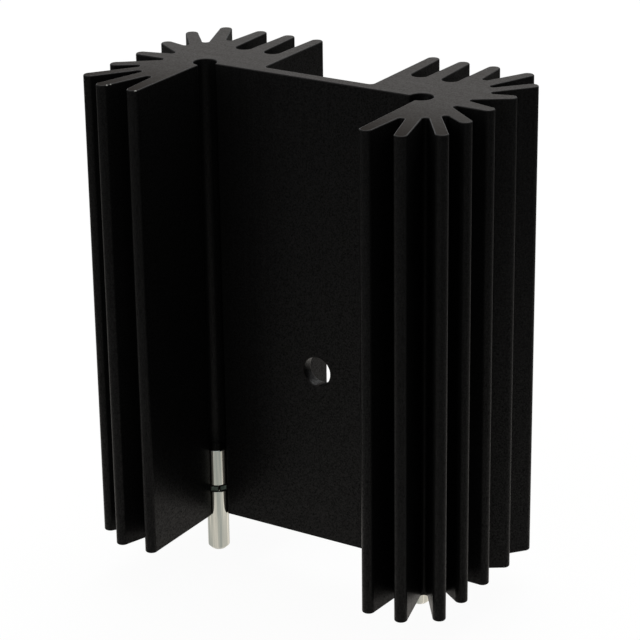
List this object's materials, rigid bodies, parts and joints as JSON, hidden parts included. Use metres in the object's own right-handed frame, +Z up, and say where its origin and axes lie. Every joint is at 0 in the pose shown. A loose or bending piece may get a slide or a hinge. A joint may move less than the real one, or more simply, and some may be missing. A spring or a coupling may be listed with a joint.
{
  "type": "heat sink",
  "caption": "Black anodised aluminium extrusion with radial fins either side of a drilled web and plated solder pins; stands on a circuit board and cools a power device.",
  "frame": {"origin": "midway between the two solder pins, on the sawn end that meets the board", "axes": "+X across the width, -Y towards the device side, +Z up from the board along the extrusion"},
  "size_m": [0.042, 0.0254, 0.0551],
  "materials": {
    "black_anodise": "black anodised, satin, with fine extrusion lines",
    "tin_plate": "bright tin plate on a turned brass pin"
  },
  "bodies": {
    "root": {"finned_extrusion": "black_anodise", "solder_pin_left": "tin_plate", "solder_pin_right": "tin_plate"}
  },
  "joints": []
}
